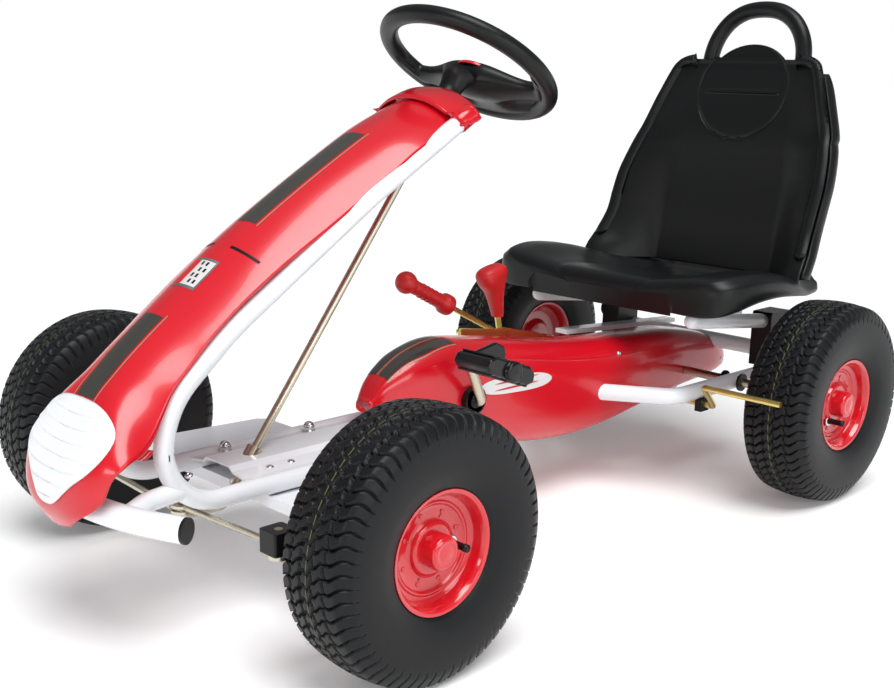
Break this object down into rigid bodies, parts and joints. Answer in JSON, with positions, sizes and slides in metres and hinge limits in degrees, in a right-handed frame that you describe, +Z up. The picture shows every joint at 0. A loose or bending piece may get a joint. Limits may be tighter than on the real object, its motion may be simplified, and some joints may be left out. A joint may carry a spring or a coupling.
{
  "type": "pedal go kart",
  "caption": "Child's pedal go kart with a sloping front fairing, chain drive under a guard, linked front steering, hand brake, sliding bucket seat and pressed wheels.",
  "frame": {"origin": "on the ground, under the middle of the kart's bounding box", "axes": "+X points forwards along the kart, +Y to the driver's left, +Z up; the wheels stand on Z = 0"},
  "size_m": [1.1844, 0.627, 0.64],
  "materials": {
    "white_painted": "glossy white powder coat",
    "red_gloss": "glossy moulded red",
    "red_rim": "glossy red enamel",
    "zinc_steel": "yellow-passivated zinc",
    "steel": "oiled steel",
    "black_satin": "satin black",
    "dark_plastic": "fine-grained black",
    "tyre": "moulded rubber with a turf tread"
  },
  "bodies": {
    "chassis": {"frame_loop_left": "white_painted", "frame_loop_right": "white_painted", "floor_pan": "white_painted", "front_axle_beam": "white_painted", "kingpins": "zinc_steel", "bumper_bar": "white_painted", "bumper_end_caps": "dark_plastic", "side_tube_left": "white_painted", "side_tube_right": "white_painted", "main_beam": "white_painted", "seat_cross_tube": "white_painted", "seat_clamps": "dark_plastic", "seat_support_bar": "white_painted", "fairing": "red_gloss", "fairing_cap": "red_gloss", "nose_grille": "white_painted", "chain_guard_left": "red_gloss", "chain_guard_right": "red_gloss", "chain": "steel", "axle_bushes": "dark_plastic", "crank_bushes": "dark_plastic", "column_bushes": "dark_plastic", "frame_bolts": "zinc_steel", "lever_bracket": "zinc_steel", "brake_brackets": "dark_plastic"},
    "steering": {"steering_column": "zinc_steel", "steering_wheel": "black_satin", "wheel_insert": "red_gloss"},
    "knuckle_left": {"knuckle_left": "zinc_steel"},
    "knuckle_right": {"knuckle_right": "zinc_steel"},
    "tie_rod_left": {"tie_rod_left": "zinc_steel", "rod_end_left": "dark_plastic"},
    "tie_rod_right": {"tie_rod_right": "zinc_steel", "rod_end_right": "dark_plastic"},
    "front_wheel_left": {"tyre_front_left": "tyre", "rim_front_left": "red_rim", "hub_cap_front_left": "red_rim"},
    "front_wheel_right": {"tyre_front_right": "tyre", "rim_front_right": "red_rim", "hub_cap_front_right": "red_rim"},
    "rear_axle": {"rear_axle": "zinc_steel", "rear_sprocket": "steel", "tyre_rear_left": "tyre", "rim_rear_left": "red_rim", "hub_cap_rear_left": "red_rim"},
    "rear_wheel_right": {"tyre_rear_right": "tyre", "rim_rear_right": "red_rim", "hub_cap_rear_right": "red_rim"},
    "crank": {"crankshaft": "zinc_steel", "front_sprocket": "steel"},
    "pedal_left": {"pedal_left": "black_satin"},
    "pedal_right": {"pedal_right": "black_satin"},
    "brake_lever": {"brake_lever": "zinc_steel", "brake_grip": "red_gloss"},
    "brake_bar": {"brake_bar": "zinc_steel"},
    "selector": {"selector_lever": "zinc_steel", "selector_knob": "red_gloss"},
    "seat": {"seat_pan": "black_satin", "seat_back": "black_satin", "seat_rails": "white_painted"}
  },
  "joints": [
    {"name": "steering_turn", "type": "hinge", "parent": "chassis", "child": "steering", "pos_m": [0.05376, 0, 0.532], "axis": [-0.6066, 0, 0.795], "range_deg": [-30, 30]},
    {"name": "kingpin_left", "type": "hinge", "parent": "chassis", "child": "knuckle_left", "pos_m": [0.36276, 0.2, 0.13], "axis": [0, 0, 1], "range_deg": [-16, 16]},
    {"name": "kingpin_right", "type": "hinge", "parent": "chassis", "child": "knuckle_right", "pos_m": [0.36276, -0.2, 0.13], "axis": [0, 0, 1], "range_deg": [-16, 16]},
    {"name": "tie_rod_pivot_left", "type": "hinge", "parent": "knuckle_left", "child": "tie_rod_left", "pos_m": [0.46576, 0.2, 0.138], "axis": [0, 0, 1], "range_deg": [-16, 16]},
    {"name": "tie_rod_pivot_right", "type": "hinge", "parent": "knuckle_right", "child": "tie_rod_right", "pos_m": [0.46576, -0.2, 0.138], "axis": [0, 0, 1], "range_deg": [-16, 16]},
    {"name": "front_wheel_spin_left", "type": "hinge", "parent": "knuckle_left", "child": "front_wheel_left", "pos_m": [0.36276, 0.27, 0.13], "axis": [0, 1, 0], "continuous": true},
    {"name": "front_wheel_spin_right", "type": "hinge", "parent": "knuckle_right", "child": "front_wheel_right", "pos_m": [0.36276, -0.27, 0.13], "axis": [0, 1, 0], "continuous": true},
    {"name": "rear_axle_spin", "type": "hinge", "parent": "chassis", "child": "rear_axle", "pos_m": [-0.37824, 0, 0.13], "axis": [0, 1, 0], "continuous": true},
    {"name": "rear_wheel_spin_right", "type": "hinge", "parent": "rear_axle", "child": "rear_wheel_right", "pos_m": [-0.37824, -0.255, 0.13], "axis": [0, 1, 0], "continuous": true},
    {"name": "crank_spin", "type": "hinge", "parent": "chassis", "child": "crank", "pos_m": [0.05976, 0, 0.164], "axis": [0, 1, 0], "continuous": true},
    {"name": "pedal_spin_left", "type": "hinge", "parent": "crank", "child": "pedal_left", "pos_m": [0.09476, 0.112, 0.221], "axis": [0, 1, 0], "continuous": true},
    {"name": "pedal_spin_right", "type": "hinge", "parent": "crank", "child": "pedal_right", "pos_m": [0.02476, -0.112, 0.107], "axis": [0, 1, 0], "continuous": true},
    {"name": "brake_lever_pull", "type": "hinge", "parent": "chassis", "child": "brake_lever", "pos_m": [-0.11124, -0.068, 0.2], "axis": [0, -1, 0], "range_deg": [0, 30]},
    {"name": "brake_bar_turn", "type": "hinge", "parent": "chassis", "child": "brake_bar", "pos_m": [-0.29224, 0, 0.1142], "axis": [0, -1, 0], "range_deg": [0, 8]},
    {"name": "selector_shift", "type": "hinge", "parent": "chassis", "child": "selector", "pos_m": [-0.13124, -0.088, 0.19], "axis": [0, 1, 0], "range_deg": [-12, 12]},
    {"name": "seat_slide", "type": "slide", "parent": "chassis", "child": "seat", "axis": [0.9925, 0, 0.1219], "range_m": [-0.03, 0.05]}
  ],
  "couplings": [
    {"joint": "kingpin_left", "follows": "steering_turn", "ratio": 0.5},
    {"joint": "kingpin_right", "follows": "steering_turn", "ratio": 0.475},
    {"joint": "tie_rod_pivot_left", "follows": "steering_turn", "ratio": -0.5},
    {"joint": "tie_rod_pivot_right", "follows": "steering_turn", "ratio": -0.475},
    {"joint": "crank_spin", "follows": "rear_axle_spin", "ratio": 0.7},
    {"joint": "brake_bar_turn", "follows": "brake_lever_pull", "ratio": 0.25}
  ]
}
